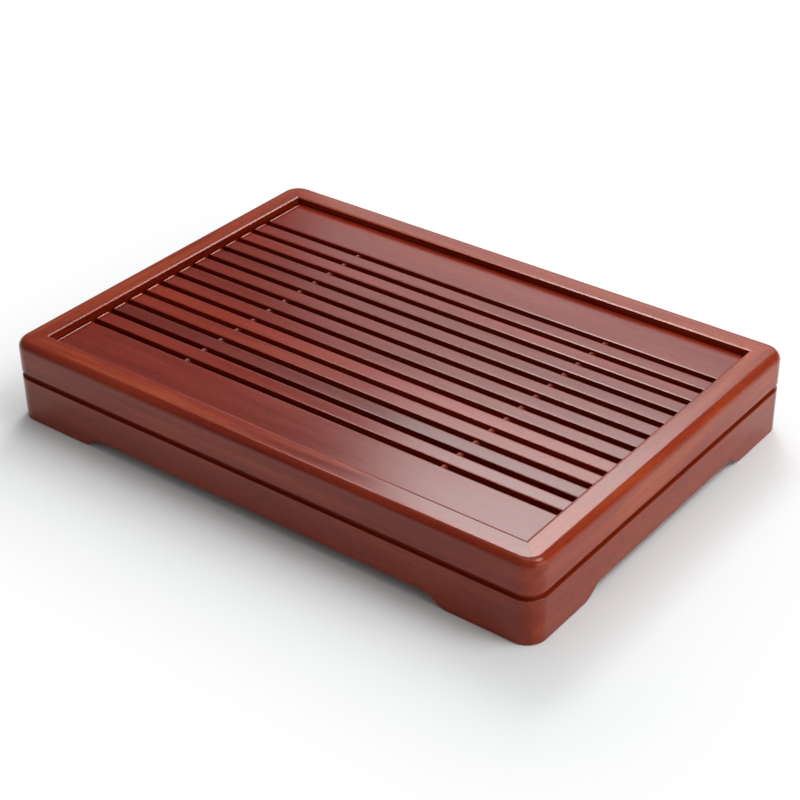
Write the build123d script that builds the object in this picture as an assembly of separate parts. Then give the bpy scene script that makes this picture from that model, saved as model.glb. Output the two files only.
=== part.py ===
from build123d import *

import os

# Tray as a whole, in millimetres, origin at the bottom centre, long side on X, back towards +Y
tray_length = 430
tray_width = 301
corner_radius = 14
overrun = 2

# Frame of the deck: four mitred members with a round outer top edge
member_width = 19
frame_height = 23.5
edge_round = 6
frame_arris = 0.8

# Panel of the deck: two boards and a row of slats, set below the frame's top
slat_count = 11
slat_width = 11.5
slat_gap = 5.2
panel_thickness = 8
panel_recess = 4.8
panel_side_gap = 0.4
panel_end_gap = 1.3
slat_arris = 0.7

# Rods through slats and boards, level with the middle of the panel
rod_diameter = 5
rod_inset = 108
rod_board_share = 0.55
rod_clearance = 0.1
rod_end_clearance = 0.5
rod_end_chamfer = 0.5

# Bearers that carry the panel and drop into the base
bearer_thickness = 8
bearer_drop = 6
bearer_lead = 1.5

# Shadow groove between deck and base, cut into the base
groove_height = 4.5
groove_depth = 1.6

# Base: four mitred rails with bracket feet
base_height = 32.5
base_thickness = 18
base_arris = 0.8
foot_cut_height = 7.5
long_foot_length = 61
short_foot_length = 54
foot_ramp_length = 20

# Floor of the base, held in a groove of the rails
floor_bottom = 10
floor_thickness = 5
floor_groove_depth = 6
floor_clearance = 0.5

# Blocks behind the bracket feet
block_size = 24
block_chamfer = 8
block_screw_inset = 7

# Loose tongues across the mitres
spline_width = 10
spline_thickness = 3
frame_spline_height = 12
base_spline_height = 16

# Countersunk wood screws
screw_diameter = 2.6
screw_head_diameter = 5.2
screw_head_height = 1.6
screw_sink = 0.3
screw_clearance = 0.1
screw_slot_width = 0.8
screw_slot_depth = 0.7
bearer_screw_length = 15
bearer_screw_inset = 45
long_bearer_screws = 4
short_bearer_screws = 3
block_screw_length = 12

# Reservoir: a shallow pan with a flange, a turned down lip and two grips
reservoir_clearance = 2
pan_height = 14.5
pan_wall = 2
pan_draft = 3
pan_corner_radius = 20
flange_width = 9
lip_height = 5
grip_width = 44
grip_height = 8
grip_corner_radius = 5

# Levels and plan sizes that follow from the values above
frame_bottom = base_height + groove_height
frame_top = frame_bottom + frame_height
panel_top = frame_top - panel_recess
panel_bottom = panel_top - panel_thickness
rod_level = panel_bottom + panel_thickness / 2
bearer_bottom = frame_bottom - bearer_drop
bearer_screw_level = (frame_bottom + panel_bottom) / 2
floor_top = floor_bottom + floor_thickness
opening_length = tray_length - 2 * member_width
opening_width = tray_width - 2 * member_width
base_inner_length = tray_length - 2 * base_thickness
base_inner_width = tray_width - 2 * base_thickness
slat_pitch = slat_width + slat_gap
slats_depth = slat_count * slat_pitch + slat_gap
board_width = (opening_width - 2 * panel_side_gap - slats_depth) / 2
strip_length = opening_length - 2 * panel_end_gap
rod_board_depth = rod_board_share * board_width

# Turn about Z that brings a side built at the front to its own place
side_turns = {"front": 0, "right": 90, "back": 180, "left": 270}
corner_signs = {
    "front_left": (-1, -1),
    "front_right": (1, -1),
    "back_right": (1, 1),
    "back_left": (-1, 1),
}


def side_span(side):
    """Outer length of a side of the tray."""
    return tray_length if side in ("front", "back") else tray_width


def side_reach(side):
    """Distance from the tray's centre to the outer face of a side."""
    return side_span("left") / 2 if side in ("front", "back") else side_span("front") / 2


def plan_ring(inset, wall, bottom, height):
    """Ring in the tray's plan, set in from the outer face, with square inner corners."""
    outer = RectangleRounded(tray_length - 2 * inset, tray_width - 2 * inset, corner_radius - inset)
    inner = Rectangle(tray_length - 2 * wall, tray_width - 2 * wall)
    return Pos(0, 0, bottom) * extrude(outer - inner, height)


def mitre_wedge(side, wall):
    """Trapezium between two mitres that holds one side of a ring."""
    end = side_span(side) / 2
    reach = side_reach(side)
    outline = Polygon(
        (-end, -reach), (end, -reach), (end - wall, wall - reach), (wall - end, wall - reach), align=None
    )
    return Rot(Z=side_turns[side]) * extrude(outline, frame_top)


def mitred_side(ring, side, wall):
    """One side of a ring, cut at its two mitres."""
    return (ring & mitre_wedge(side, wall)).solid()


def corner_splines(wall, height, middle):
    """Four upright tongues, each across the middle of a mitre."""
    tongue = Box(spline_width, spline_thickness, height)
    along_x = (tray_length - wall) / 2
    along_y = (tray_width - wall) / 2
    return [
        Pos(x * along_x, y * along_y, middle) * Rot(Z=-45 * x * y) * tongue
        for x, y in corner_signs.values()
    ]


def screw(length, clearance=0):
    """Countersunk screw along Z with its head up, or its hole where a clearance is given."""
    shank = Pos(0, 0, -(length + clearance) / 2) * Cylinder(
        screw_diameter / 2 + clearance, length + clearance
    )
    head = Pos(0, 0, -screw_head_height / 2) * Cone(
        screw_diameter / 2 + clearance, screw_head_diameter / 2 + clearance, screw_head_height
    )
    body = shank + head
    if clearance:
        mouth = Cylinder(screw_head_diameter / 2 + clearance, overrun)
        return body + Pos(0, 0, overrun / 2) * mouth
    slot = Box(screw_head_diameter, screw_slot_width, screw_slot_depth)
    return body - Pos(0, 0, -screw_slot_depth / 2) * slot


def bearer_size(side):
    """Length of a bearer: the long ones run through, the short ones fit between them."""
    if side in ("front", "back"):
        return opening_length
    return opening_width - 2 * bearer_thickness


def bearer_screw_places(side):
    """Places of one bearer's screws, heads towards the tray's centre."""
    count = long_bearer_screws if side in ("front", "back") else short_bearer_screws
    first = bearer_screw_inset - bearer_size(side) / 2
    step = -2 * first / (count - 1)
    depth = side_reach(side) - member_width - bearer_thickness + screw_sink
    return [
        Rot(Z=side_turns[side])
        * Plane((first + i * step, -depth, bearer_screw_level), x_dir=(1, 0, 0), z_dir=(0, 1, 0)).location
        for i in range(count)
    ]


def block_screw_places():
    """Places of the screws that go down through the floor into the foot blocks."""
    near = block_screw_inset
    far = block_size - block_screw_inset
    return [
        Pos(x * (base_inner_length / 2 - a), y * (base_inner_width / 2 - b), floor_top - screw_sink)
        for x, y in corner_signs.values()
        for a, b in ((near, far), (far, near))
    ]


def frame_ring():
    """The frame before it is cut at its mitres."""
    ring = plan_ring(0, member_width, frame_bottom, frame_height)
    ring = fillet(ring.faces().sort_by(Axis.Z)[-1].outer_wire().edges(), edge_round)
    ring = fillet(ring.faces().sort_by(Axis.Z)[-1].inner_wires()[0].edges(), frame_arris)
    return fillet(ring.faces().sort_by(Axis.Z)[0].outer_wire().edges(), frame_arris)


def base_ring():
    """The base before it is cut at its mitres: wall, neck, floor groove and the spaces between feet."""
    wall = plan_ring(0, base_thickness, 0, base_height)
    wall = fillet(wall.faces().sort_by(Axis.Z)[-1].outer_wire().edges(), base_arris)
    wall = fillet(wall.faces().sort_by(Axis.Z)[0].outer_wire().edges(), base_arris)
    ring = wall + plan_ring(groove_depth, base_thickness, base_height, groove_height)
    ring -= Pos(0, 0, floor_bottom + floor_thickness / 2) * Box(
        base_inner_length + 2 * floor_groove_depth,
        base_inner_width + 2 * floor_groove_depth,
        floor_thickness,
    )
    for side in side_turns:
        ring -= foot_cut(side)
    return ring


def foot_cut(side):
    """Space between two bracket feet, with an ogee at each end made of two equal arcs."""
    foot = long_foot_length if side in ("front", "back") else short_foot_length
    start = foot - side_span(side) / 2
    middle = (start + foot_ramp_length / 2, foot_cut_height / 2)
    top = (start + foot_ramp_length, foot_cut_height)
    lower = TangentArc((start, 0), middle, tangent=(1, 0))
    upper = TangentArc(middle, top, tangent=lower % 1)
    left = lower + upper
    right = mirror(left, Plane.YZ)
    closing = Polyline((start, 0), (start, -overrun), (-start, -overrun), (-start, 0))
    profile = make_face(left + Line(top, (-top[0], top[1])) + right + closing)
    depth = base_thickness + overrun
    upright = extrude(Rot(X=90) * profile, depth, both=True)
    return Rot(Z=side_turns[side]) * Pos(0, -side_reach(side), 0) * upright


def panel_strip(front_edge, width):
    """Board or slat whose front edge lies at the given Y, with eased top edges and rod holes."""
    strip = Pos(0, front_edge + width / 2, rod_level) * Box(strip_length, width, panel_thickness)
    strip = fillet(strip.faces().sort_by(Axis.Z)[-1].edges(), slat_arris)
    for x in (-1, 1):
        strip -= rod(x, rod_clearance, 0)
    return strip


def rod(sign, clearance, end_clearance):
    """Rod on one side of the tray, or its hole where a clearance is given."""
    length = slats_depth + 2 * (rod_board_depth - end_clearance)
    bar = Cylinder(rod_diameter / 2 + clearance, length)
    if end_clearance:
        bar = chamfer(bar.edges().filter_by(GeomType.CIRCLE), rod_end_chamfer)
    return Pos(sign * (tray_length / 2 - rod_inset), 0, rod_level) * Rot(X=90) * bar


def bearer(side):
    """Strip inside a frame member, chamfered below so that it finds its way into the base."""
    height = panel_bottom - bearer_bottom
    strip = Pos(
        0, member_width + bearer_thickness / 2 - side_reach(side), bearer_bottom + height / 2
    ) * Box(bearer_size(side), bearer_thickness, height)
    outer_edge = strip.edges().filter_by(Axis.X).group_by(Axis.Z)[0].sort_by(Axis.Y)[0]
    return Rot(Z=side_turns[side]) * chamfer(outer_edge, bearer_lead)


def foot_block(corner):
    """Block behind a bracket foot, with its free upright edge taken off."""
    x, y = corner_signs[corner]
    block = Box(block_size, block_size, floor_bottom)
    uprights = block.edges().filter_by(Axis.Z)
    free_edge = uprights.sort_by(lambda edge: x * edge.center().X + y * edge.center().Y)[0]
    block = chamfer(free_edge, block_chamfer)
    place = Pos(
        x * (base_inner_length - block_size) / 2,
        y * (base_inner_width - block_size) / 2,
        floor_bottom / 2,
    )
    return place * block


def pan_outline(inset, level):
    """Rounded rectangle of the reservoir, set in from the flange's outer edge."""
    length = base_inner_length - 2 * (reservoir_clearance + inset)
    width = base_inner_width - 2 * (reservoir_clearance + inset)
    radius = pan_corner_radius - inset / 2
    return Pos(0, 0, level) * RectangleRounded(length, width, radius)


def reservoir():
    """Shallow pan with drafted walls, a flange with a turned down lip, and two upright grips."""
    flange_top = floor_top + pan_height
    outside = loft(
        [pan_outline(flange_width + pan_draft, floor_top), pan_outline(flange_width, flange_top)]
    )
    inside = loft(
        [
            pan_outline(flange_width + pan_draft + pan_wall, floor_top + pan_wall),
            pan_outline(flange_width + pan_wall, flange_top),
        ]
    )
    flange = extrude(pan_outline(0, flange_top - pan_wall), pan_wall)
    lip_bottom = flange_top - lip_height
    lip = extrude(pan_outline(0, lip_bottom) - pan_outline(pan_wall, lip_bottom), lip_height)
    pan = outside + flange + lip - inside
    plate = extrude(RectangleRounded(grip_width, 2 * grip_height, grip_corner_radius), pan_wall)
    upper_half = Pos(0, grip_height / 2, pan_wall / 2) * Box(grip_width, grip_height, pan_wall)
    grip = Pos(0, 0, flange_top) * Rot(Z=90) * Rot(X=90) * (plate & upper_half)
    grip_face = base_inner_length / 2 - reservoir_clearance - flange_width - pan_wall
    pan += Pos(grip_face, 0, 0) * grip
    pan += Rot(Z=180) * Pos(grip_face, 0, 0) * grip
    return pan


def deck_nodes():
    """Every piece of the deck by node name."""
    splines = corner_splines(member_width, frame_spline_height, frame_bottom + frame_height / 2)
    ring = frame_ring()
    for tongue in splines:
        ring -= tongue
    nodes = {}
    screws = []
    for side in side_turns:
        member = mitred_side(ring, side, member_width)
        strip = bearer(side)
        for place in bearer_screw_places(side):
            member -= place * screw(bearer_screw_length, screw_clearance)
            strip -= place * screw(bearer_screw_length, screw_clearance)
            screws.append(place * screw(bearer_screw_length))
        nodes["frame_" + side] = member
        nodes["bearer_" + side] = strip
    nodes["deck_corner_splines"] = Compound(children=splines)
    nodes["bearer_screws"] = Compound(children=screws)
    panel_front = panel_side_gap - opening_width / 2
    nodes["front_board"] = panel_strip(panel_front, board_width)
    first_slat = panel_front + board_width + slat_gap
    for i in range(slat_count):
        nodes["slat_%02d" % (i + 1)] = panel_strip(first_slat + i * slat_pitch, slat_width)
    nodes["back_board"] = panel_strip(first_slat + slat_count * slat_pitch, board_width)
    nodes["rod_left"] = rod(-1, 0, rod_end_clearance)
    nodes["rod_right"] = rod(1, 0, rod_end_clearance)
    return nodes


def base_nodes():
    """Every piece of the base by node name."""
    splines = corner_splines(base_thickness, base_spline_height, (floor_top + frame_bottom) / 2)
    ring = base_ring()
    for tongue in splines:
        ring -= tongue
    nodes = {"base_" + side: mitred_side(ring, side, base_thickness) for side in side_turns}
    nodes["base_corner_splines"] = Compound(children=splines)
    floor = Pos(0, 0, floor_bottom + floor_thickness / 2) * Box(
        base_inner_length + 2 * (floor_groove_depth - floor_clearance),
        base_inner_width + 2 * (floor_groove_depth - floor_clearance),
        floor_thickness,
    )
    places = block_screw_places()
    holes = [place * screw(block_screw_length, screw_clearance) for place in places]
    nodes["floor_panel"] = floor - holes
    for corner in corner_signs:
        nodes["foot_block_" + corner] = foot_block(corner) - holes
    nodes["block_screws"] = Compound(children=[place * screw(block_screw_length) for place in places])
    return nodes


os.makedirs("parts", exist_ok=True)
for name, shape in {**deck_nodes(), **base_nodes(), "reservoir": reservoir()}.items():
    export_step(shape, "parts/" + name + ".step")
    print(name, len(shape.solids()), "solids", round(shape.volume), "mm3")
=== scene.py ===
import logging
import math
from collections.abc import Callable, Sequence
from dataclasses import dataclass, field
from enum import Enum

import bmesh
import bpy
from mathutils import Matrix, Vector


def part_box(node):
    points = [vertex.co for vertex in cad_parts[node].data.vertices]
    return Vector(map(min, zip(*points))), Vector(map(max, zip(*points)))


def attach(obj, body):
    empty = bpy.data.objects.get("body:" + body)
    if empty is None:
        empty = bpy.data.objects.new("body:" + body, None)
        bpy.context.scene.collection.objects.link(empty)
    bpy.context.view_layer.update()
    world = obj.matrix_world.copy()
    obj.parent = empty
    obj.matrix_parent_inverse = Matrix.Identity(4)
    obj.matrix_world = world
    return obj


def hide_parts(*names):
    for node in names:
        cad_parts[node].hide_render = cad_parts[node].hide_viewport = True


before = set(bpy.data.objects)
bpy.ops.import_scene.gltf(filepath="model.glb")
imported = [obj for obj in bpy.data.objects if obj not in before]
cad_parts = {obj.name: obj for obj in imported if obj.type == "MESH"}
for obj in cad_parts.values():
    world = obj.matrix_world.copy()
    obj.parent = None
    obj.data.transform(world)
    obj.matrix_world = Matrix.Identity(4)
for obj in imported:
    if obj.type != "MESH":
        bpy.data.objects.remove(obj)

LOG = logging.getLogger("tea_tray")
MM = 0.001
SAME_POINT = 0.001 * MM
SAME_PLANE = math.radians(1)
CORNERS = ("front_left", "front_right", "back_right", "back_left")
Point2 = tuple[float, float]
Point3 = tuple[float, float, float]
Mesh = bpy.types.Mesh
Piece = bpy.types.Object
Material = bpy.types.Material
Tree = bpy.types.NodeTree
Socket = bpy.types.NodeSocket
Shape = bmesh.types.BMesh


class Grain(Enum):
    """The way the grain runs, as the turn in degrees that brings it onto X."""

    ALONG_X = 0
    ALONG_Y = 90


class Side(Enum):
    """A side of the tray, with the turn in degrees that brings a side built at the front to its place."""

    FRONT = 0
    RIGHT = 90
    BACK = 180
    LEFT = 270

    @property
    def node_end(self) -> str:
        """The last word of the names of this side's nodes."""
        return self.name.lower()

    @property
    def runs_along_x(self) -> bool:
        """True for the two long sides."""
        return self in (Side.FRONT, Side.BACK)

    @property
    def grain(self) -> Grain:
        """The grain of a piece that lies along this side."""
        return Grain.ALONG_X if self.runs_along_x else Grain.ALONG_Y


def linear(hex_colour: str) -> tuple[float, float, float, float]:
    """Turns an sRGB hex colour into the linear colour that shaders take, by the curve of that standard.

    Args:
        hex_colour: Six hex digits with a leading hash sign.

    Returns:
        Red, green, blue and an alpha of one.
    """
    channels = [int(hex_colour[i : i + 2], 16) / 255 for i in (1, 3, 5)]
    red, green, blue = (c / 12.92 if c <= 0.04045 else ((c + 0.055) / 1.055) ** 2.4 for c in channels)
    return red, green, blue, 1.0


def add(tree: Tree, kind: str, settings: dict | None = None, inputs: dict | None = None) -> bpy.types.Node:
    """Adds a node to a tree.

    Args:
        tree: Shader or geometry tree.
        kind: The node's type name.
        settings: Properties of the node and their values.
        inputs: Socket names or indices, each with a value or with an output socket to link.

    Returns:
        The new node.
    """
    node = tree.nodes.new(kind)
    for name, value in (settings or {}).items():
        setattr(node, name, value)
    for name, value in (inputs or {}).items():
        if isinstance(value, Socket):
            tree.links.new(value, node.inputs[name])
        else:
            node.inputs[name].default_value = value
    return node


def rounded(corners: Sequence[Point3], closed: bool = True, steps: int = 6) -> list[Point2]:
    """Draws an outline through corners, each rounded with its own radius.

    Args:
        corners: The two coordinates and the radius of each corner.
        closed: Whether the last corner joins the first.
        steps: Flats in each arc.

    Returns:
        The points of the outline in order.
    """
    outline: list[Point2] = []
    for i, (u, v, radius) in enumerate(corners):
        here = Vector((u, v))
        if not radius or (not closed and i in (0, len(corners) - 1)):
            outline.append((u, v))
            continue
        before = (Vector(corners[i - 1][:2]) - here).normalized()
        after = (Vector(corners[(i + 1) % len(corners)][:2]) - here).normalized()
        half_angle = before.angle(after) / 2
        centre = here + (before + after).normalized() * radius / math.sin(half_angle)
        start = here + before * radius / math.tan(half_angle) - centre
        end = here + after * radius / math.tan(half_angle) - centre
        sweep = start.angle_signed(end)
        for k in range(steps + 1):
            point = centre + Matrix.Rotation(-sweep * k / steps, 2) @ start
            outline.append((point.x, point.y))
    return outline


def placed(name: str, data: bpy.types.ID) -> Piece:
    """Makes an object of a mesh, a lamp or a camera and puts it in the scene.

    Args:
        name: The object's name.
        data: The mesh, lamp or camera.

    Returns:
        The object.
    """
    thing = bpy.data.objects.new(name, data)
    bpy.context.scene.collection.objects.link(thing)
    return thing


def ease_edges(piece: Piece, width: float, least_turn: float) -> None:
    """Bevels the sharp edges of a piece.

    Args:
        piece: The piece.
        width: Width of the bevel.
        least_turn: How far two faces turn, in degrees, before the edge between them counts as sharp.
    """
    bevel = piece.modifiers.new("eased_edges", "BEVEL")
    bevel.width = width
    bevel.segments = 2
    bevel.limit_method = "ANGLE"
    bevel.angle_limit = math.radians(least_turn)


def settle(name: str, mesh: Mesh, material: Material, ease: float = 0.0, tone: float | None = None) -> Piece:
    """Makes a mesh a finished object at the origin, with eased edges and even shading.

    Args:
        name: Name of the piece.
        mesh: The piece's mesh, in metres and in its place.
        material: The finish of every face.
        ease: Width of the bevel on the sharp edges, or zero for none.
        tone: The piece's own shade of wood from 0 to 1, or None where the mesh has it already.

    Returns:
        The object, with a plain mesh.
    """
    piece = placed(name, mesh)
    mesh.materials.clear()
    mesh.materials.append(material)
    mesh.shade_smooth()
    if ease:
        ease_edges(piece, ease, least_turn=40)
    piece.modifiers.new("even_shading", "WEIGHTED_NORMAL")
    piece.data = evaluated_mesh(piece)
    piece.modifiers.clear()
    if tone is not None:
        shade = piece.data.attributes.new("tone", "FLOAT", "POINT")
        shade.data.foreach_set("value", [tone] * len(piece.data.vertices))
    return piece


def evaluated_mesh(piece: Piece) -> Mesh:
    """The plain mesh that a piece's modifiers make of it."""
    depsgraph = bpy.context.evaluated_depsgraph_get()
    return bpy.data.meshes.new_from_object(piece.evaluated_get(depsgraph), depsgraph=depsgraph)


def handed_over(bm: Shape) -> Mesh:
    """Makes a mesh of a shape and frees the shape.

    Args:
        bm: The shape.

    Returns:
        The mesh.
    """
    mesh = bpy.data.meshes.new("shape")
    bm.to_mesh(mesh)
    bm.free()
    return mesh


def joined(meshes: Sequence[Mesh]) -> Mesh:
    """Joins meshes, each as it is.

    Args:
        meshes: The meshes.

    Returns:
        One mesh that holds them all.
    """
    bm = bmesh.new()
    for mesh in meshes:
        bm.from_mesh(mesh)
    return handed_over(bm)


def sound_mesh(bm: Shape) -> Mesh:
    """Makes a mesh of a shape, with doubled points merged and every face turned outwards.

    Args:
        bm: The shape, which is freed.

    Returns:
        The mesh.
    """
    bmesh.ops.remove_doubles(bm, verts=bm.verts, dist=SAME_POINT)
    bmesh.ops.recalc_face_normals(bm, faces=bm.faces)
    return handed_over(bm)


def skin(bm: Shape, rings: Sequence[Sequence[Vector]], around: bool, along: bool) -> None:
    """Covers a lattice of points with four-sided faces.

    Args:
        bm: The shape that gets the faces.
        rings: Rows of points, all of one length.
        around: Whether the last point of a row joins its first.
        along: Whether the last row joins the first. If not, both end rows get a face of their own.
    """
    rows = [[bm.verts.new(point) for point in ring] for ring in rings]
    for i in range(len(rows) if along else len(rows) - 1):
        here, there = rows[i], rows[(i + 1) % len(rows)]
        for j in range(len(here) if around else len(here) - 1):
            k = (j + 1) % len(here)
            bm.faces.new((here[j], here[k], there[k], there[j]))
    if not along:
        bm.faces.new(rows[0])
        bm.faces.new(rows[-1])


def blank_material(name: str) -> tuple[Material, Tree]:
    """Makes a material whose tree is empty.

    Args:
        name: The material's name.

    Returns:
        The material and its tree.
    """
    material = bpy.data.materials.new(name)
    material.use_nodes = True
    material.node_tree.nodes.clear()
    return material, material.node_tree


@dataclass(frozen=True)
class Finish:
    """What the finishes share: shades spread over a pattern that is drawn on the piece's own coordinates."""

    shades: tuple[str, ...]
    stops: tuple[float, ...]

    def make(self, name: str) -> Material:
        """Builds the material.

        Args:
            name: The material's name.

        Returns:
            The material. One of lacquered wood is for a piece with a tone attribute.
        """
        material, tree = blank_material(name)
        place = add(tree, "ShaderNodeTexCoord").outputs["Object"]
        shader = add(tree, "ShaderNodeBsdfPrincipled", inputs=self.surface(tree, place))
        add(tree, "ShaderNodeOutputMaterial", inputs={"Surface": shader.outputs["BSDF"]})
        return material

    def surface(self, tree: Tree, place: Socket) -> dict[str, object]:
        """Adds what the finish gives its shader.

        Args:
            tree: The material's tree.
            place: The piece's own coordinates.

        Returns:
            The shader's sockets by name, each with a value or with an output socket to link.
        """
        raise NotImplementedError(type(self).__name__)

    def spread(self, tree: Tree, pattern: Socket) -> Socket:
        """Spreads the finish's shades over a pattern.

        Args:
            tree: The material's tree.
            pattern: Values from 0 to 1.

        Returns:
            The colour.
        """
        ramp = add(tree, "ShaderNodeValToRGB", inputs={"Fac": pattern})
        elements = ramp.color_ramp.elements
        for i, (stop, shade) in enumerate(zip(self.stops, self.shades)):
            element = elements[i] if i < len(elements) else elements.new(stop)
            element.position = stop
            element.color = linear(shade)
        return ramp.outputs["Color"]


@dataclass(frozen=True)
class Wood(Finish):
    """What both finishes of rosewood share: a grain that runs one way, with fine dark streaks along it."""

    grain: Grain
    streak_width: float
    streak_length: float

    def along(self, tree: Tree, place: Socket) -> Socket:
        """Turns the piece's coordinates so that X runs along the grain."""
        turn = (0, 0, math.radians(self.grain.value))
        return add(tree, "ShaderNodeMapping", inputs={"Vector": place, "Rotation": turn}).outputs["Vector"]

    def figure(self, tree: Tree, wood: Socket, length: float, width: float, detail: float) -> Socket:
        """Adds a pattern drawn out along the grain.

        Args:
            tree: The material's tree.
            wood: Coordinates whose X runs along the grain.
            length: Size of the pattern along the grain.
            width: Size of the pattern across the grain.
            detail: Finer layers in the pattern.

        Returns:
            The pattern, from 0 to 1.
        """
        scales = (1 / length, 1 / width, 1 / width)
        drawn_out = add(
            tree, "ShaderNodeVectorMath", {"operation": "MULTIPLY"}, {0: wood, 1: scales}
        ).outputs[0]
        return add(
            tree, "ShaderNodeTexNoise", inputs={"Vector": drawn_out, "Scale": 1.0, "Detail": detail}
        ).outputs["Fac"]


@dataclass(frozen=True)
class LacqueredWood(Wood):
    """Rosewood, planed and sprayed with a satin tinted lacquer: deep red-brown with fine dark streaks
    along the grain, a soft sheen that pales it where it mirrors the light, and almost no relief."""

    stops: tuple[float, ...] = (0.2, 0.5, 0.8)
    grain: Grain = Grain.ALONG_X
    streak_width: float = 1.7 * MM
    streak_length: float = 95 * MM
    band_width: float = 9 * MM
    band_length: float = 130 * MM
    figure_share: float = 0.5
    streak_share: float = 0.15
    tone_share: float = 0.5
    # How far off, in metres, the wood of tone 1 is cut from the wood of tone 0.
    board_shift: Point3 = (3.1, 1.7, 2.3)
    # Real pores are about 0.1 mm wide; they are drawn coarser, so that they show at all.
    pore_width: float = 0.7 * MM
    pore_length: float = 8 * MM
    pore_bounds: tuple[float, float] = (0.32, 0.44)
    pore_shade: float = 0.72
    roughness: float = 0.21
    roughness_spread: float = 0.03
    roughness_bounds: tuple[float, float] = (0.3, 0.7)
    refraction: float = 1.4
    # The waves of the sprayed skin, with a little of the open grain under it.
    peel_width: float = 2.5 * MM
    relief_height: float = 0.08 * MM
    relief_strength: float = 0.08
    streak_relief: float = 0.4
    # Wet lacquer creeps back from a sharp end and dries as a low rim; a place of 0 leaves the rim out.
    rim_place: float = 0.0
    rim_width: float = 1.0 * MM
    rim_height: float = 0.34 * MM

    def surface(self, tree: Tree, place: Socket) -> dict[str, object]:
        """Adds the figure and the pores of the wood, the sheen and the relief.

        Args:
            tree: The material's tree.
            place: The piece's own coordinates.

        Returns:
            The shader's sockets by name, each with a value or with an output socket to link.
        """
        # The tone attribute is each piece's own shade of wood; on the frame members' inner walls and round
        # edges it also holds painted shade.
        tone = add(tree, "ShaderNodeAttribute", {"attribute_name": "tone"}).outputs["Fac"]
        shift = add(
            tree, "ShaderNodeVectorMath", {"operation": "SCALE"}, {0: self.board_shift, "Scale": tone}
        ).outputs[0]
        wood = add(tree, "ShaderNodeVectorMath", inputs={0: self.along(tree, place), 1: shift}).outputs[0]
        streaks = self.figure(tree, wood, self.streak_length, self.streak_width, detail=4.0)
        bands = self.figure(tree, wood, self.band_length, self.band_width, detail=2.0)
        pores = self.figure(tree, wood, self.pore_length, self.pore_width, detail=1.0)
        parts = ((streaks, self.streak_share), (bands, self.figure_share), (tone, self.tone_share))
        # The shares pull the shade away from the ramp's middle stop, where every part is 0.5.
        shade = self.stops[1] - sum(share for _, share in parts) / 2
        for part, share in parts:
            shade = add(
                tree, "ShaderNodeMath", {"operation": "MULTIPLY_ADD"}, {0: part, 1: share, 2: shade}
            ).outputs[0]
        low, high = self.pore_bounds
        pore = add(
            tree,
            "ShaderNodeMapRange",
            inputs={"Value": pores, "From Min": low, "From Max": high, "To Min": self.pore_shade},
        ).outputs["Result"]
        plain = self.spread(tree, shade)
        colour = add(
            tree, "ShaderNodeVectorMath", {"operation": "SCALE"}, {0: plain, "Scale": pore}
        ).outputs[0]
        low, high = self.roughness_bounds
        gloss = add(
            tree,
            "ShaderNodeMapRange",
            inputs={
                "Value": bands,
                "From Min": low,
                "From Max": high,
                "To Min": self.roughness - self.roughness_spread,
                "To Max": self.roughness + self.roughness_spread,
            },
        ).outputs["Result"]
        normal = self.relief(tree, place, streaks)
        return {"Base Color": colour, "Roughness": gloss, "IOR": self.refraction, "Normal": normal}

    def relief(self, tree: Tree, place: Socket, streaks: Socket) -> Socket:
        """Adds the skin's faint waves and, where there is one, the slope of the rim near both ends along X.

        Args:
            tree: The material's tree.
            place: The piece's own coordinates.
            streaks: The pattern of the open grain.

        Returns:
            The normal.
        """
        peel = add(
            tree, "ShaderNodeTexNoise", inputs={"Vector": place, "Scale": 1 / self.peel_width, "Detail": 1.0}
        ).outputs["Fac"]
        waves = add(
            tree,
            "ShaderNodeMath",
            {"operation": "MULTIPLY_ADD"},
            {0: streaks, 1: self.streak_relief, 2: peel},
        ).outputs[0]
        skin_inputs = {"Height": waves, "Strength": self.relief_strength, "Distance": self.relief_height}
        if self.rim_place:
            x = add(tree, "ShaderNodeSeparateXYZ", inputs={"Vector": place}).outputs["X"]
            out = add(tree, "ShaderNodeMath", {"operation": "ABSOLUTE"}, {0: x}).outputs[0]
            foot, top = self.rim_place - self.rim_width, self.rim_place
            rise = add(
                tree, "ShaderNodeMapRange", inputs={"Value": out, "From Min": foot, "From Max": top}
            ).outputs["Result"]
            rim_inputs = {"Height": rise, "Strength": 1.0, "Distance": self.rim_height}
            skin_inputs["Normal"] = add(tree, "ShaderNodeBump", inputs=rim_inputs).outputs["Normal"]
        return add(tree, "ShaderNodeBump", inputs=skin_inputs).outputs["Normal"]


@dataclass(frozen=True)
class OiledWood(Wood):
    """The same wood inside the tray, planed and only oiled: browner, open grained, with hardly any sheen."""

    shades: tuple[str, ...] = ("#4A1F12", "#8A4A2C")
    stops: tuple[float, ...] = (0.3, 0.7)
    grain: Grain = Grain.ALONG_X
    streak_width: float = 1.6 * MM
    streak_length: float = 60 * MM
    relief_height: float = 0.2 * MM
    relief_strength: float = 0.3
    roughness: float = 0.62
    refraction: float = 1.47

    def surface(self, tree: Tree, place: Socket) -> dict[str, object]:
        """Adds the streaks, in colour and in relief.

        Args:
            tree: The material's tree.
            place: The piece's own coordinates.

        Returns:
            The shader's sockets by name, each with a value or with an output socket to link.
        """
        wood = self.along(tree, place)
        streaks = self.figure(tree, wood, self.streak_length, self.streak_width, detail=4.0)
        bump_inputs = {"Height": streaks, "Strength": self.relief_strength, "Distance": self.relief_height}
        return {
            "Base Color": self.spread(tree, streaks),
            "Roughness": self.roughness,
            "IOR": self.refraction,
            "Normal": add(tree, "ShaderNodeBump", inputs=bump_inputs).outputs["Normal"],
        }


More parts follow.
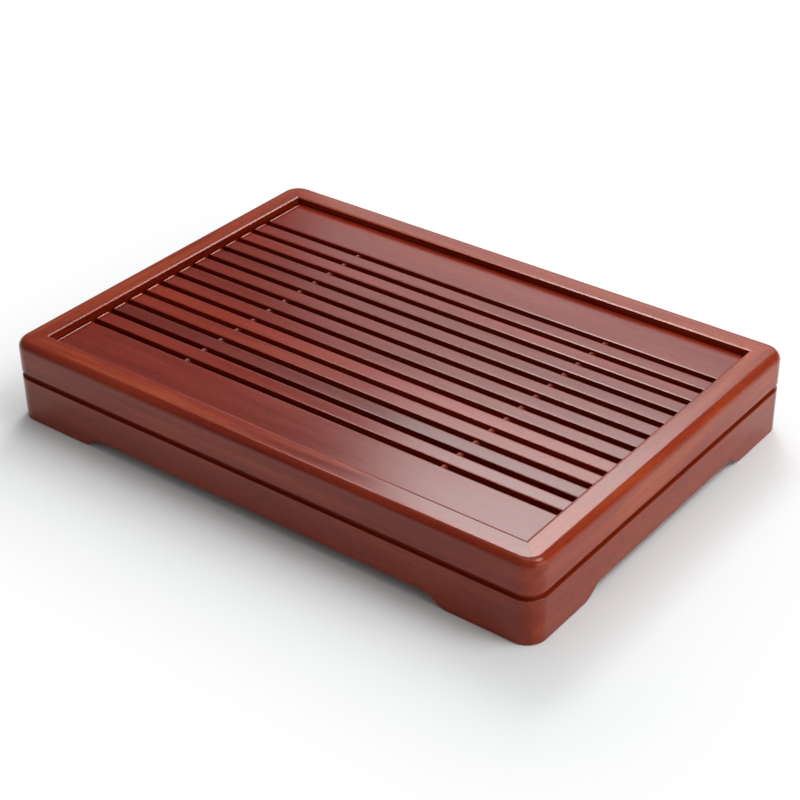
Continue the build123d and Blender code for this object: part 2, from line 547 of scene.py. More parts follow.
@dataclass(frozen=True)
class ZincPlatedSteel(Finish):
    """Wood screws of steel with a thin zinc coat: a pale cool grey, softly mottled where it is duller."""

    shades: tuple[str, ...] = ("#8F9093", "#B9BABC")
    stops: tuple[float, ...] = (0.35, 0.65)
    mottle: float = 1.2 * MM
    dull_roughness: float = 0.42
    clear_roughness: float = 0.26

    def surface(self, tree: Tree, place: Socket) -> dict[str, object]:
        """Adds the mottled coat.

        Args:
            tree: The material's tree.
            place: The piece's own coordinates.

        Returns:
            The shader's sockets by name, each with a value or with an output socket to link.
        """
        patches = add(
            tree, "ShaderNodeTexNoise", inputs={"Vector": place, "Scale": 1 / self.mottle, "Detail": 3.0}
        ).outputs["Fac"]
        roughness = add(
            tree,
            "ShaderNodeMapRange",
            inputs={"Value": patches, "To Min": self.dull_roughness, "To Max": self.clear_roughness},
        ).outputs["Result"]
        return {"Base Color": self.spread(tree, patches), "Roughness": roughness, "Metallic": 1.0}


@dataclass(frozen=True)
class MouldedPlastic(Finish):
    """Polypropylene, moulded with a fine matte texture: nearly black brown, with a broad weak sheen."""

    shades: tuple[str, ...] = ("#241A17", "#2E221E")
    stops: tuple[float, ...] = (0.3, 0.7)
    # The real texture is about 0.2 mm; it is drawn coarser, so that it shows at all.
    texture: float = 0.9 * MM
    relief_height: float = 0.1 * MM
    relief_strength: float = 0.25
    roughness: float = 0.48
    refraction: float = 1.49

    def surface(self, tree: Tree, place: Socket) -> dict[str, object]:
        """Adds the matte texture.

        Args:
            tree: The material's tree.
            place: The piece's own coordinates.

        Returns:
            The shader's sockets by name, each with a value or with an output socket to link.
        """
        grit = add(
            tree, "ShaderNodeTexNoise", inputs={"Vector": place, "Scale": 1 / self.texture, "Detail": 2.0}
        ).outputs["Fac"]
        bump_inputs = {"Height": grit, "Strength": self.relief_strength, "Distance": self.relief_height}
        return {
            "Base Color": self.spread(tree, grit),
            "Roughness": self.roughness,
            "IOR": self.refraction,
            "Normal": add(tree, "ShaderNodeBump", inputs=bump_inputs).outputs["Normal"],
        }


class RowTree:
    """Geometry Nodes tree that sets copies of a piece in a row, each with its own tone."""

    SOCKETS = {
        "Count": "NodeSocketInt",
        "Start": "NodeSocketVector",
        "Step": "NodeSocketVector",
        "Turn": "NodeSocketVector",
        "Seed": "NodeSocketInt",
        "Finish": "NodeSocketMaterial",
    }

    def __init__(self) -> None:
        """Builds the tree once for every row."""
        self.tree = bpy.data.node_groups.new("row_of_pieces", "GeometryNodeTree")
        self.tree.interface.new_socket("Piece", in_out="INPUT", socket_type="NodeSocketGeometry")
        self.sockets = {
            name: self.tree.interface.new_socket(name, in_out="INPUT", socket_type=kind).identifier
            for name, kind in self.SOCKETS.items()
        }
        self.tree.interface.new_socket("Row", in_out="OUTPUT", socket_type="NodeSocketGeometry")
        given = add(self.tree, "NodeGroupInput").outputs
        line = add(
            self.tree,
            "GeometryNodeMeshLine",
            {"mode": "OFFSET"},
            {"Count": given["Count"], "Start Location": given["Start"], "Offset": given["Step"]},
        )
        turn = add(self.tree, "FunctionNodeEulerToRotation", inputs={"Euler": given["Turn"]})
        copies = add(
            self.tree,
            "GeometryNodeInstanceOnPoints",
            inputs={"Points": line.outputs[0], "Instance": given["Piece"], "Rotation": turn.outputs[0]},
        )
        chance = add(self.tree, "FunctionNodeRandomValue", {"data_type": "FLOAT"}, {"Seed": given["Seed"]})
        toned = add(
            self.tree,
            "GeometryNodeStoreNamedAttribute",
            {"data_type": "FLOAT", "domain": "INSTANCE"},
            {"Geometry": copies.outputs[0], "Name": "tone", "Value": chance.outputs[1]},
        )
        real = add(self.tree, "GeometryNodeRealizeInstances", inputs={"Geometry": toned.outputs[0]})
        finished = add(
            self.tree,
            "GeometryNodeSetMaterial",
            inputs={"Geometry": real.outputs[0], "Material": given["Finish"]},
        )
        add(self.tree, "NodeGroupOutput", inputs={0: finished.outputs[0]})

    def lay(
        self,
        piece: Mesh,
        material: Material,
        count: int,
        start: Vector,
        step: Vector,
        turn: Vector = Vector(),
        seed: int = 0,
    ) -> Mesh:
        """Lays a row.

        Args:
            piece: Mesh of one piece, about its own middle.
            material: The finish of the row.
            count: Pieces in the row.
            start: Place of the first piece.
            step: Way from one piece to the next.
            turn: Turns of each piece about X, Y and Z, in radians.
            seed: Chooses the tones.

        Returns:
            The whole row as one plain mesh.
        """
        holder = placed("row", piece)
        modifier = holder.modifiers.new("row", "NODES")
        modifier.node_group = self.tree
        for name, value in zip(self.SOCKETS, (count, start, step, turn, seed, material)):
            modifier[self.sockets[name]] = value
        row = evaluated_mesh(holder)
        bpy.data.objects.remove(holder)
        return row


@dataclass
class Strip:
    """A straight strip of wood whose top edges are eased by hand: a faint slope, then a small round."""

    length: float
    width: float
    thickness: float
    arris: float
    eased_width: float = 1.2 * MM
    eased_drop: float = 0.22 * MM
    broken_edge: float = 0.3 * MM
    steps: int = 4

    def mesh(self) -> Mesh:
        """Builds the strip.

        Returns:
            Its mesh about its own middle, running along X.
        """
        upright = rounded(
            [
                (self.width / 2, -self.thickness / 2, 0.0),
                (0.0, -self.thickness / 2, self.broken_edge),
                (0.0, self.thickness / 2 - self.eased_drop, self.arris),
                (self.eased_width, self.thickness / 2, self.eased_width),
                (self.width / 2, self.thickness / 2, 0.0),
            ],
            closed=False,
            steps=self.steps,
        )
        rings = []
        for inset, height in upright[1:-1]:
            x = self.length / 2 - inset
            y = self.width / 2 - inset
            rings.append([Vector((a * x, b * y, height)) for a, b in ((-1, -1), (1, -1), (1, 1), (-1, 1))])
        bm = bmesh.new()
        skin(bm, rings, around=True, along=False)
        return sound_mesh(bm)


@dataclass
class MitredRing:
    """A ring of four mitred sides with rounded outer corners, laid out from its outer face."""

    length: float
    width: float
    corner_radius: float
    joint_gap: float = 0.02 * MM
    mitre: float = math.radians(45)
    corner_steps: int = 10

    def side_mesh(
        self,
        side: Side,
        section: Sequence[Point2],
        stations: Sequence[float] = (),
        lift: Callable[[float, float], float] | None = None,
    ) -> Mesh:
        """Sweeps a section from one mitre to the other.

        Args:
            side: The side of the tray.
            section: Closed outline of insets from the outer face and heights.
            stations: Extra places along the straight, measured from the side's middle.
            lift: Gives the height to add for a place along the side and a height of the section.

        Returns:
            The side's mesh in its place.
        """
        span, reach = (self.length, self.width / 2) if side.runs_along_x else (self.width, self.length / 2)
        straight = span / 2 - self.corner_radius
        turns = [self.mitre * k / self.corner_steps for k in range(self.corner_steps, 0, -1)]
        places = [(-straight, -turn) for turn in turns]
        places += [(x, 0.0) for x in (-straight, *sorted(stations), straight)]
        places += [(straight, turn) for turn in reversed(turns)]
        rings = []
        for x, turn in places:
            ring = []
            for inset, height in section:
                radius = self.corner_radius - inset
                limit = span / 2 - inset
                if radius > 0:
                    u = x + radius * math.sin(turn)
                    v = self.corner_radius - radius * math.cos(turn)
                else:
                    u = math.copysign(limit, turn) if turn else max(-limit, min(limit, x))
                    v = inset
                rise = lift(x, height) if lift else 0.0
                ring.append(Vector((u, v - reach, height + rise)))
            rings.append(ring)
        for ring, sign in ((rings[0], 1), (rings[-1], -1)):
            for point in ring:
                point.x += sign * self.joint_gap
        bm = bmesh.new()
        skin(bm, rings, around=True, along=False)
        bmesh.ops.rotate(bm, matrix=Matrix.Rotation(math.radians(side.value), 3, "Z"), verts=bm.verts)
        return sound_mesh(bm)

    def inset(self, place: Vector) -> float:
        """Measures how far a place lies in from the ring's outer face.

        Args:
            place: The place, on the ring or inside it.

        Returns:
            The distance in plan.
        """
        u = abs(place.x) - self.length / 2 + self.corner_radius
        v = abs(place.y) - self.width / 2 + self.corner_radius
        return self.corner_radius - (math.hypot(u, v) if u > 0 and v > 0 else max(u, v))


@dataclass
class WoodScrew:
    """A slotted countersunk wood screw with its head up and its point at the bottom."""

    length: float
    shank: float = 2.6 * MM
    head: float = 5.2 * MM
    head_height: float = 1.6 * MM
    slot_width: float = 0.8 * MM
    slot_depth: float = 0.7 * MM
    slot_ease: float = 0.02 * MM
    thread_pitch: float = 1.0 * MM
    thread_depth: float = 0.25 * MM
    head_edge: float = 0.1 * MM
    plain_share: float = 1 / 3
    point_share: float = 1 / 8
    sides: int = 28

    def mesh(self) -> Mesh:
        """Builds the screw.

        Returns:
            Its mesh along Z, with the head's face at zero.
        """
        half = self.shank / 2
        root = half - self.thread_depth
        outline = [
            (self.head / 2 - self.head_edge, 0.0),
            (self.head / 2, -self.head_edge),
            (half, -self.head_height),
        ]
        thread_top = -self.length * self.plain_share
        turns = int((self.length + thread_top - self.shank) / self.thread_pitch)
        outline.append((root, thread_top))
        for i in range(turns):
            level = thread_top - i * self.thread_pitch
            outline += [(half, level - self.thread_pitch / 2), (root, level - self.thread_pitch)]
        outline.append((half * self.point_share, -self.length))
        bm = bmesh.new()
        rings = [
            [
                Vector((radius * math.cos(angle), radius * math.sin(angle), level))
                for angle in (math.tau * k / self.sides for k in range(self.sides))
            ]
            for radius, level in outline
        ]
        skin(bm, rings, around=True, along=False)
        return self.slotted(sound_mesh(bm))

    def slotted(self, blank: Mesh) -> Mesh:
        """Cuts the driver's slot into the head.

        Args:
            blank: Mesh of the screw without its slot.

        Returns:
            The finished mesh.
        """
        edge = self.slot_ease
        block = Strip(
            2 * self.head,
            self.slot_width,
            2 * self.slot_depth,
            arris=edge / 2,
            eased_width=edge,
            eased_drop=edge,
            broken_edge=edge,
            steps=1,
        )
        cutter = placed("slot_cutter", block.mesh())
        holder = placed("screw", blank)
        cut = holder.modifiers.new("slot", "BOOLEAN")
        cut.object = cutter
        cut.operation = "DIFFERENCE"
        mesh = evaluated_mesh(holder)
        for helper in (cutter, holder):
            bpy.data.objects.remove(helper)
        return mesh


def tray_plan(ring: str) -> tuple[float, float]:
    """Measures a ring of four nodes in plan.

    Args:
        ring: First word of the nodes' names.

    Returns:
        The ring's outer length and width.
    """
    low_x, low_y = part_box(ring + "_left")[0].x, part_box(ring + "_front")[0].y
    high_x, high_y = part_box(ring + "_right")[1].x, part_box(ring + "_back")[1].y
    return high_x - low_x, high_y - low_y


def seat(piece: Piece, body: str, nodes: Sequence[str]) -> None:
    """Sets a finished piece on its body in place of CAD nodes.

    Args:
        piece: The finished piece.
        body: The body it moves with.
        nodes: The CAD nodes that it stands for.
    """
    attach(piece, body)
    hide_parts(*nodes)
    LOG.info("%s on %s, for %s", piece.name, body, ", ".join(nodes))


def dress_node(node: str, material: Material, ease: float) -> None:
    """Gives a CAD node that keeps its shape a finish and eased edges.

    Args:
        node: Name of the node.
        material: Its finish.
        ease: Width of the bevel on its sharp edges.
    """
    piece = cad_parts[node]
    piece.data.materials.clear()
    piece.data.materials.append(material)
    piece.modifiers.new("welded", "WELD").merge_threshold = 2 * SAME_POINT
    flats = piece.modifiers.new("whole_faces", "DECIMATE")
    flats.decimate_type = "DISSOLVE"
    flats.angle_limit = SAME_PLANE
    ease_edges(piece, ease, least_turn=60)
    LOG.info("%s keeps its shape", node)


@dataclass
class Deck:
    """The lift-off top: four mitred frame members round two boards, a row of slats and their rods."""

    rows: RowTree
    corner_radius: float = 14 * MM
    member_width: float = 19 * MM
    round_over: float = 6 * MM
    rounded_share: float = 0.9
    inner_arris: float = 0.35 * MM
    eased_width: float = 1.6 * MM
    eased_drop: float = 0.35 * MM
    lower_arris: float = 0.3 * MM
    joint_line: float = 0.05 * MM
    slat_arris: float = 0.35 * MM
    rim_inset: float = 1.0 * MM
    rod_chamfer: float = 0.5 * MM
    rod_sides: int = 32
    slat_count: int = 11
    # Chosen so that the tones fall as in the photograph, with dark slats second and third from the front.
    slat_seed: int = 396885
    rod_seed: int = 2
    bearer_ease: float = 0.2 * MM
    bearer_screw_length: float = 15 * MM
    bearer_screw_inset: float = 45 * MM
    bearer_screw_counts: dict[Side, int] = field(
        default_factory=lambda: {Side.FRONT: 4, Side.RIGHT: 3, Side.BACK: 4, Side.LEFT: 3}
    )
    # Each member is cut from wood of its own. The inner walls and the front and left round edges get
    # darker tones, which are painted shade.
    member_tones: dict[Side, float] = field(
        default_factory=lambda: {Side.FRONT: 0.41, Side.RIGHT: 0.60, Side.BACK: 0.68, Side.LEFT: 0.50}
    )
    inner_wall_painted_shade: float = 0.05
    rounded_edge_painted_shade: dict[Side, float] = field(
        default_factory=lambda: {Side.FRONT: 0.24, Side.RIGHT: 0.55, Side.BACK: 0.55, Side.LEFT: 0.24}
    )
    board_tones: dict[str, float] = field(
        default_factory=lambda: {"front_board": 0.36, "back_board": 0.56}
    )

    def build(self) -> None:
        """Builds every piece of the deck and dresses it."""
        self.build_members()
        self.build_panel()
        self.build_rods()
        self.build_bearers()

    def member_finish(self, grain: Grain) -> Material:
        """The lacquer of the frame members for one way of the grain."""
        finish = LacqueredWood(("#6C1504", "#8C2A0A", "#AC481A"), grain=grain, figure_share=0.8)
        return finish.make("lacquered_rosewood_frame_" + grain.name.lower())

    def build_members(self) -> None:
        """Builds the four frame members."""
        low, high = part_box("frame_front")
        ring = MitredRing(*tray_plan("frame"), self.corner_radius)
        section = rounded(
            [
                (0.0, low.z, self.lower_arris),
                (self.member_width, low.z, self.lower_arris),
                (self.member_width, high.z - self.eased_drop, self.inner_arris),
                (self.member_width - self.eased_width, high.z, self.eased_width),
                (0.0, high.z, self.round_over),
            ],
            steps=8,
        )
        finishes = {grain: self.member_finish(grain) for grain in Grain}
        for side in Side:
            mesh = ring.side_mesh(side, section)
            name = side.node_end + "_frame_member"
            piece = settle(name, mesh, finishes[side.grain], self.joint_line, self.member_tones[side])
            self.shade_edges(piece, ring, side, high.z)
            seat(piece, "deck", ["frame_" + side.node_end])

    def shade_edges(self, piece: Piece, ring: MitredRing, side: Side, top: float) -> None:
        """Paints shade on a member's inner wall and its rounded edge, as darker tones of their own.

        Args:
            piece: The finished member.
            ring: The ring that it is a side of.
            side: Its side of the tray.
            top: Height of the member's top.
        """
        tones = piece.data.attributes["tone"].data
        rounded_end = self.rounded_share * self.round_over
        # The darker tones set here are painted shade on the recessed inner wall and on the rounded edge.
        for vertex in piece.data.vertices:
            inset = ring.inset(vertex.co)
            if inset > self.member_width - self.joint_line:
                tones[vertex.index].value = self.inner_wall_painted_shade
            elif vertex.co.z > top - self.round_over and self.joint_line < inset < rounded_end:
                tones[vertex.index].value = self.rounded_edge_painted_shade[side]

    def build_panel(self) -> None:
        """Builds the two boards and the row of slats."""
        _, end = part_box("front_board")
        finish = LacqueredWood(
            ("#581409", "#7E1F0A", "#A03212"),
            figure_share=0.30,
            streak_share=0.22,
            tone_share=0.30,
            rim_place=end.x - self.rim_inset,
        )
        material = finish.make("lacquered_rosewood_panel")
        for node, tone in self.board_tones.items():
            low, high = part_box(node)
            size = high - low
            mesh = Strip(size.x, size.y, size.z, self.slat_arris).mesh()
            mesh.transform(Matrix.Translation((low + high) / 2))
            seat(settle(node + "_lacquered", mesh, material, tone=tone), "deck", [node])
        names = ["slat_%02d" % (i + 1) for i in range(self.slat_count)]
        low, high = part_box(names[0])
        next_low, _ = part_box(names[1])
        size = high - low
        slat = Strip(size.x, size.y, size.z, self.slat_arris).mesh()
        row = self.rows.lay(
            slat, material, self.slat_count, (low + high) / 2, next_low - low, seed=self.slat_seed
        )
        seat(settle("slat_row", row, material), "deck", names)

    def build_rods(self) -> None:
        """Builds the two rods that run through the slats."""
        finish = LacqueredWood(("#581409", "#74200C", "#9A3414"), grain=Grain.ALONG_Y, roughness=0.38)
        material = finish.make("lacquered_rosewood_rods")
        left_low, left_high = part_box("rod_left")
        right_low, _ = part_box("rod_right")
        radius = (left_high.x - left_low.x) / 2
        half = (left_high.y - left_low.y) / 2
        outline = [
            (radius - self.rod_chamfer, -half),
            (radius, self.rod_chamfer - half),
            (radius, half - self.rod_chamfer),
            (radius - self.rod_chamfer, half),
        ]
        angles = [math.tau * k / self.rod_sides for k in range(self.rod_sides)]
        rings = [[Vector((r * math.cos(a), y, r * math.sin(a))) for a in angles] for r, y in outline]
        bm = bmesh.new()
        skin(bm, rings, around=True, along=False)
        middle = (left_low + left_high) / 2
        step = Vector((right_low.x - left_low.x, 0, 0))
        row = self.rows.lay(sound_mesh(bm), material, 2, middle, step, seed=self.rod_seed)
        seat(settle("slat_rods", row, material), "deck", ["rod_left", "rod_right"])

    def build_bearers(self) -> None:
        """Dresses the bearers and their tongues and sets the screws."""
        finishes = {g: OiledWood(grain=g).make("oiled_rosewood_" + g.name.lower()) for g in Grain}
        for side in Side:
            dress_node("bearer_" + side.node_end, finishes[side.grain], self.bearer_ease)
        dress_node("deck_corner_splines", finishes[Grain.ALONG_X], self.bearer_ease)
        steel = ZincPlatedSteel().make("zinc_plated_steel_bearer_screws")
        screw = WoodScrew(self.bearer_screw_length).mesh()
        low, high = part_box("bearer_screws")
        rows = []
        for side, count in self.bearer_screw_counts.items():
            start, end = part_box("bearer_" + side.node_end)
            span = end.x - start.x if side.runs_along_x else end.y - start.y
            reach = high.y if side.runs_along_x else high.x
            first = self.bearer_screw_inset - span / 2
            turn = Matrix.Rotation(math.radians(side.value), 3, "Z")
            place = turn @ Vector((first, self.bearer_screw_length - reach, (low.z + high.z) / 2))
            step = turn @ Vector((-2 * first / (count - 1), 0, 0))
            aim = turn @ Matrix.Rotation(math.radians(-90), 3, "X")
            rows.append(self.rows.lay(screw, steel, count, place, step, Vector(aim.to_euler())))
        seat(settle("bearer_screw_set", joined(rows), steel), "deck", ["bearer_screws"])


@dataclass
class Base:
    """The footed base: four mitred rails round a thin floor, with blocks behind the feet."""

    rows: RowTree
    corner_radius: float = 14 * MM
    rail_thickness: float = 18 * MM
    arris: float = 0.5 * MM
    wall_height: float = 32.5 * MM
    groove_depth: float = 2.6 * MM
    floor_groove_depth: float = 6 * MM
    joint_line: float = 0.05 * MM
    foot_cut_height: float = 7.5 * MM
    # The cut lifts only the part of the section below this height.
    foot_cut_edge: float = 1.5 * MM
    long_foot_length: float = 61 * MM
    short_foot_length: float = 54 * MM
    foot_ramp_length: float = 20 * MM
    ramp_steps: int = 14
    block_screw_length: float = 12 * MM
    block_screw_inset: float = 7 * MM
    floor_ease: float = 0.2 * MM
    block_ease: float = 0.3 * MM
    rail_tones: dict[Side, float] = field(
        default_factory=lambda: {Side.FRONT: 0.40, Side.RIGHT: 0.58, Side.BACK: 0.50, Side.LEFT: 0.46}
    )

    def build(self) -> None:
        """Builds every piece of the base and dresses it."""
        self.build_rails()
        self.build_inside()
        self.build_screws()

    def foot_lift(self, foot_end: float) -> Callable[[float, float], float]:
        """Shape of the space between two feet.

        Args:
            foot_end: Distance from the side's middle to where its feet end.

        Returns:
            A function of a place along the side and a height of the section.
        """
        run = self.foot_ramp_length / 2
        rise = self.foot_cut_height / 2
        radius = (run * run + rise * rise) / (2 * rise)

        def lift(place: float, height: float) -> float:
            """Works out how much the cut lifts the rail's bottom edge.

            Args:
                place: Place along the side, from its middle.
                height: Height of the section's point.

            Returns:
                The height to add.
            """
            if height > self.foot_cut_edge:
                return 0.0
            in_from_foot = max(0.0, min(2 * run, foot_end - abs(place)))
            if in_from_foot < run:
                return radius - math.sqrt(radius**2 - in_from_foot**2)
            return 2 * rise - radius + math.sqrt(radius**2 - (2 * run - in_from_foot) ** 2)

        return lift

    def build_rails(self) -> None:
        """Builds the four rails with their bracket feet."""
        low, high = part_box("base_front")
        floor_low, floor_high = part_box("floor_panel")
        ring = MitredRing(*tray_plan("base"), self.corner_radius)
        inner = self.rail_thickness
        section = rounded(
            [
                (0.0, low.z, 2 * self.arris),
                (inner, low.z, self.arris),
                (inner, floor_low.z, 0.0),
                (inner - self.floor_groove_depth, floor_low.z, 0.0),
                (inner - self.floor_groove_depth, floor_high.z, 0.0),
                (inner, floor_high.z, 0.0),
                (inner, high.z, self.arris / 2),
                (self.groove_depth, high.z, self.arris / 2),
                (self.groove_depth, self.wall_height, self.arris / 4),
                (0.0, self.wall_height, self.arris),
            ]
        )
        for side in Side:
            foot = self.long_foot_length if side.runs_along_x else self.short_foot_length
            span = ring.length if side.runs_along_x else ring.width
            foot_end = span / 2 - foot
            steps = [self.foot_ramp_length * k / self.ramp_steps for k in range(self.ramp_steps + 1)]
            stations = [sign * (foot_end - step) for step in steps for sign in (-1, 1)]
            mesh = ring.side_mesh(side, section, stations, self.foot_lift(foot_end))
            finish = LacqueredWood(("#6A1C08", "#84280B", "#A04014"), grain=side.grain)
            material = finish.make("lacquered_rosewood_" + side.node_end + "_rail")
            name = side.node_end + "_base_rail"
            piece = settle(name, mesh, material, self.joint_line, self.rail_tones[side])
            seat(piece, "base", ["base_" + side.node_end])

    def build_inside(self) -> None:
        """Dresses the floor, the blocks behind the feet and the tongues in the mitres."""
        material = OiledWood(("#55271A", "#8C5236")).make("oiled_rosewood_base")
        dress_node("floor_panel", material, self.floor_ease)
        dress_node("base_corner_splines", material, self.floor_ease)
        for corner in CORNERS:
            dress_node("foot_block_" + corner, material, self.block_ease)

    def build_screws(self) -> None:
        """Sets the screws that hold the blocks."""
        steel = ZincPlatedSteel().make("zinc_plated_steel_block_screws")
        screw = WoodScrew(self.block_screw_length).mesh()
        _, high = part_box("block_screws")
        rows = []
        for corner in CORNERS:
            start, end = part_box("foot_block_" + corner)
            x_out, x_in = (start.x, end.x) if start.x < 0 else (end.x, start.x)
            y_out, y_in = (start.y, end.y) if start.y < 0 else (end.y, start.y)
            x_way = math.copysign(self.block_screw_inset, x_in - x_out)
            y_way = math.copysign(self.block_screw_inset, y_in - y_out)
            first = Vector((x_out + x_way, y_in - y_way, high.z))
            second = Vector((x_in - x_way, y_out + y_way, high.z))
            rows.append(self.rows.lay(screw, steel, 2, first, second - first))
        seat(settle("block_screw_set", joined(rows), steel), "base", ["block_screws"])


@dataclass
class Reservoir:
    """The shallow pan that catches the water, with a flange, a turned down lip and two grips."""

    wall: float = 2 * MM
    depth: float = 14.5 * MM
    draft: float = 3 * MM
    corner_radius: float = 20 * MM
    flange_width: float = 9 * MM
    lip_height: float = 5 * MM
    grip_width: float = 44 * MM
    grip_corner_radius: float = 5 * MM
    grip_root: float = 0.5 * MM
    floor_round: float = 3 * MM
    top_round: float = 1.2 * MM
    lip_round: float = 0.6 * MM
    under_round: float = 0.4 * MM
    # How far the floor is drawn as rings, before one face closes it.
    floor_reach: float = 20 * MM
    corner_steps: int = 12
    section_steps: int = 5

    def ring(self, high: Vector, inset: float, level: float) -> list[Vector]:
        """A rounded rectangle set in from the pan's outer edge.

        Args:
            high: Highest corner of the pan.
            inset: Distance in from the outer edge.
            level: Height of the ring.

        Returns:
            Its points.
        """
        radius = self.corner_radius - inset / 2
        x = high.x - inset
        y = high.y - inset
        outline = rounded(
            [(-x, -y, radius), (x, -y, radius), (x, y, radius), (-x, y, radius)], steps=self.corner_steps
        )
        return [Vector((u, v, level)) for u, v in outline]

    def build(self) -> None:
        """Builds the pan with its grips."""
        low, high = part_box("reservoir")
        top = low.z + self.depth
        flange = self.flange_width
        floor_edge = flange + self.draft
        floor_end = floor_edge + self.wall + self.floor_reach
        section = rounded(
            [
                (floor_end, low.z + self.wall, 0.0),
                (floor_edge + self.wall, low.z + self.wall, self.floor_round),
                (flange + self.wall, top, self.top_round),
                (0.0, top, self.top_round),
                (0.0, top - self.lip_height, self.lip_round),
                (self.wall, top - self.lip_height, self.lip_round),
                (self.wall, top - self.wall, self.under_round),
                (flange, top - self.wall, self.under_round),
                (floor_edge, low.z, self.floor_round),
                (floor_end, low.z, 0.0),
            ],
            closed=False,
            steps=self.section_steps,
        )
        bm = bmesh.new()
        rings = [self.ring(high, inset, level) for inset, level in section]
        skin(bm, rings, around=True, along=False)
        face = high.x - flange - self.wall
        for sign in (-1, 1):
            self.add_grip(bm, sign * face, sign * (face + self.wall), top, high.z)
        material = MouldedPlastic().make("moulded_polypropylene")
        piece = settle("reservoir_pan", sound_mesh(bm), material)
        seat(piece, "reservoir", ["reservoir"])

    def add_grip(self, bm: Shape, near: float, far: float, bottom: float, top: float) -> None:
        """Adds an upright grip plate that stands on the flange.

        Args:
            bm: The shape that gets the grip.
            near: X of one face.
            far: X of the other face.
            bottom: Height where it leaves the flange.
            top: Height of its upper edge.
        """
        half = self.grip_width / 2
        ease = self.wall / 4
        step = math.copysign(ease, far - near)
        rings = []
        for x, inset in ((near, ease), (near + step, 0.0), (far - step, 0.0), (far, ease)):
            outline = rounded(
                [
                    (-half + inset, bottom - self.grip_root, 0.0),
                    (half - inset, bottom - self.grip_root, 0.0),
                    (half - inset, top - inset, self.grip_corner_radius - inset),
                    (-half + inset, top - inset, self.grip_corner_radius - inset),
                ]
            )
            rings.append([Vector((x, y, z)) for y, z in outline])
        skin(bm, rings, around=True, along=False)


@dataclass
class Softbox:
    """A rectangular studio lamp, aimed at a point."""

    name: str
    place: Point3
    aim: Point3
    width: float
    height: float
    radiance: float

    def build(self) -> None:
        """Hangs the lamp."""
        lamp = bpy.data.lights.new(self.name, "AREA")
        lamp.shape = "RECTANGLE"
        lamp.size = self.width
        lamp.size_y = self.height
        lamp.energy = self.radiance * math.pi * self.width * self.height
        holder = placed(self.name, lamp)
        holder.location = self.place
        direction = Vector(self.aim) - Vector(self.place)
        holder.rotation_euler = direction.to_track_quat("-Z", "Y").to_euler()
        holder.visible_camera = False


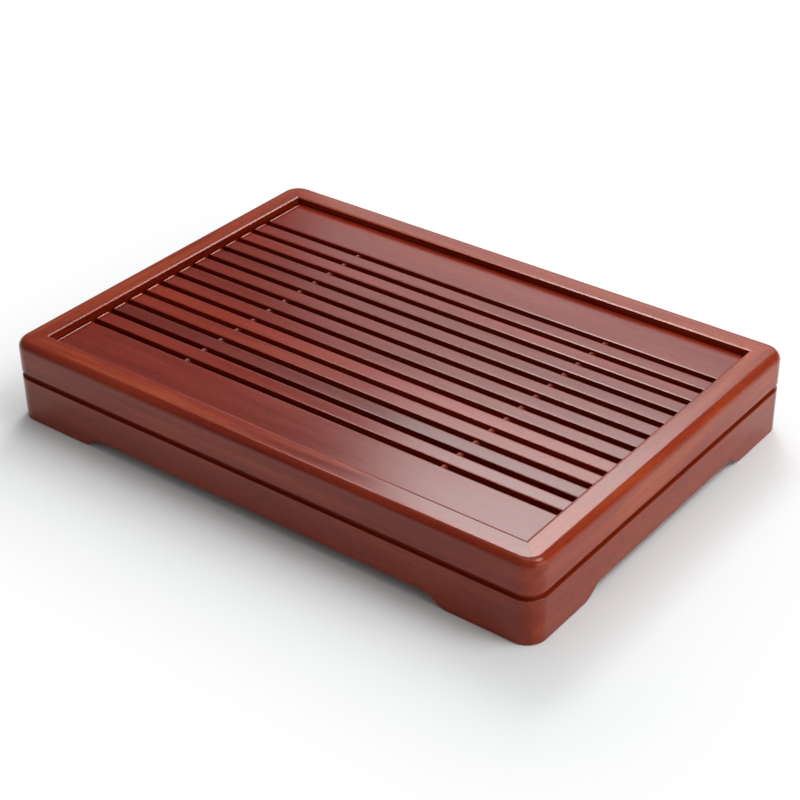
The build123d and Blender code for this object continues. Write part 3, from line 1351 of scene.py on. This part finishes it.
@dataclass
class Studio:
    """A pale floor that fades to white, soft light and the camera."""

    camera_place: Point3 = (0.67491, -0.86293, 0.70688)
    camera_aim: Point3 = (0.03785, -0.03975, 0.05)
    camera_roll: float = -0.7476
    lens: float = 85.038
    sensor: float = 36.0
    shift: Point2 = (-0.00581, -0.00034)
    floor_size: float = 40.0
    floor_cells: int = 8
    floor_colour: str = "#F0F3F3"
    floor_roughness: float = 0.9
    floor_gloss: float = 0.1
    shadow_reach: float = 0.16
    shadow_back_inset: float = 50 * MM
    shadow_left_inset: float = 20 * MM
    room_strength: float = 0.25
    horizon_strength: float = 1.0
    # The sine of the height, seen from the tray, where the white horizon starts and has faded to the room.
    horizon_edge: tuple[float, float] = (0.03, 0.07)
    softboxes: tuple[Softbox, ...] = (
        Softbox("back_key", (-0.60, 1.16, 1.26), (0, 0, 0.03), 0.56, 0.50, 7.9),
        Softbox("back_fill", (-0.61, 1.50, 0.82), (0, 0, 0.03), 1.20, 0.44, 1.45),
        Softbox("edge_light", (-0.74, 0.85, 1.43), (0, 0, 0.03), 0.70, 0.26, 9.5),
        Softbox("right_key", (0.99, 0.28, 1.50), (0, 0, 0.03), 0.66, 0.66, 7.6),
        Softbox("right_fill", (1.72, 0.06, 0.56), (0, 0, 0.03), 1.40, 0.90, 2.0),
        Softbox("ceiling", (0.2, 0.4, 2.2), (0.2, 0.4, 0), 1.8, 1.8, 1.1),
    )

    def build(self) -> None:
        """Sets up the floor, the light and the camera."""
        self.build_floor()
        self.build_world()
        for softbox in self.softboxes:
            softbox.build()
        self.build_camera()
        bpy.context.scene.view_settings.view_transform = "Standard"

    @staticmethod
    def seen_rays(tree: Tree) -> Socket:
        """Adds a factor that picks out the rays that show the backdrop.

        Args:
            tree: The backdrop's tree.

        Returns:
            One for camera, glossy and transmission rays, and zero for the rest.
        """
        rays = add(tree, "ShaderNodeLightPath").outputs
        seen = rays["Is Camera Ray"]
        for kind in ("Is Glossy Ray", "Is Transmission Ray"):
            seen = add(tree, "ShaderNodeMath", {"operation": "MAXIMUM"}, {0: seen, 1: rays[kind]}).outputs[0]
        return seen

    def build_floor(self) -> None:
        """Lays the floor, which keeps the tray's shadow and is plain white further off."""
        bm = bmesh.new()
        cells = self.floor_cells
        bmesh.ops.create_grid(bm, x_segments=cells, y_segments=cells, size=self.floor_size / 2)
        floor = placed("studio_floor", handed_over(bm))
        material, tree = blank_material("matt_paper_backdrop")
        length, width = tray_plan("frame")
        # The light comes from behind, so the shadow is measured from a patch that leaves out the back.
        centre = (self.shadow_left_inset / 2, -self.shadow_back_inset / 2, 0)
        half_size = (length / 2 - centre[0], width / 2 + centre[1], 0)
        way = add(tree, "ShaderNodeTexCoord").outputs["Object"]
        steps = (("SUBTRACT", centre), ("ABSOLUTE",), ("SUBTRACT", half_size), ("MAXIMUM", (0, 0, 0)))
        for operation, *operand in steps:
            inputs = dict(enumerate((way, *operand)))
            way = add(tree, "ShaderNodeVectorMath", {"operation": operation}, inputs).outputs["Vector"]
        distance = add(tree, "ShaderNodeVectorMath", {"operation": "LENGTH"}, {0: way}).outputs["Value"]
        far_off = add(
            tree,
            "ShaderNodeMapRange",
            {"interpolation_type": "SMOOTHSTEP"},
            {"Value": distance, "From Max": self.shadow_reach},
        ).outputs["Result"]
        white_share = add(
            tree, "ShaderNodeMath", {"operation": "MULTIPLY"}, {0: far_off, 1: self.seen_rays(tree)}
        ).outputs[0]
        paper = add(
            tree,
            "ShaderNodeBsdfPrincipled",
            inputs={
                "Base Color": linear(self.floor_colour),
                "Roughness": self.floor_roughness,
                "Specular IOR Level": self.floor_gloss,
            },
        )
        white = add(tree, "ShaderNodeEmission", inputs={"Strength": 1.0})
        mix = add(
            tree,
            "ShaderNodeMixShader",
            inputs={0: white_share, 1: paper.outputs["BSDF"], 2: white.outputs["Emission"]},
        )
        add(tree, "ShaderNodeOutputMaterial", inputs={"Surface": mix.outputs[0]})
        floor.data.materials.append(material)

    def build_world(self) -> None:
        """Gives weak light from all round, and white along the horizon, where the floor ends."""
        world = bpy.data.worlds.new("dim_room")
        bpy.context.scene.world = world
        world.use_nodes = True
        tree = world.node_tree
        tree.nodes.clear()
        way = add(tree, "ShaderNodeTexCoord").outputs["Generated"]
        height = add(tree, "ShaderNodeSeparateXYZ", inputs={0: way}).outputs["Z"]
        low, high = self.horizon_edge
        strength = add(
            tree,
            "ShaderNodeMapRange",
            inputs={
                "Value": height,
                "From Min": low,
                "From Max": high,
                "To Min": self.horizon_strength,
                "To Max": self.room_strength,
            },
        ).outputs["Result"]
        room = add(tree, "ShaderNodeBackground", inputs={"Color": linear("#FFFFFF"), "Strength": strength})
        add(tree, "ShaderNodeOutputWorld", inputs={"Surface": room.outputs[0]})

    def build_camera(self) -> None:
        """Places the camera at the photograph's viewing angle."""
        data = bpy.data.cameras.new("camera")
        data.sensor_width = self.sensor
        data.lens = self.lens
        data.shift_x, data.shift_y = self.shift
        data.clip_start = 10 * MM
        camera = placed("camera", data)
        direction = Vector(self.camera_aim) - Vector(self.camera_place)
        level = direction.to_track_quat("-Z", "Y").to_matrix().to_4x4()
        roll = Matrix.Rotation(math.radians(self.camera_roll), 4, "Z")
        camera.matrix_world = Matrix.Translation(self.camera_place) @ level @ roll
        bpy.context.scene.camera = camera


def main() -> None:
    """Builds the tray and its studio."""
    logging.basicConfig(level=logging.INFO, format="%(name)s: %(message)s")
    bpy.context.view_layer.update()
    rows = RowTree()
    for assembly in (Deck(rows), Base(rows), Reservoir()):
        assembly.build()
    Studio().build()


if __name__ == "__main__":
    main()
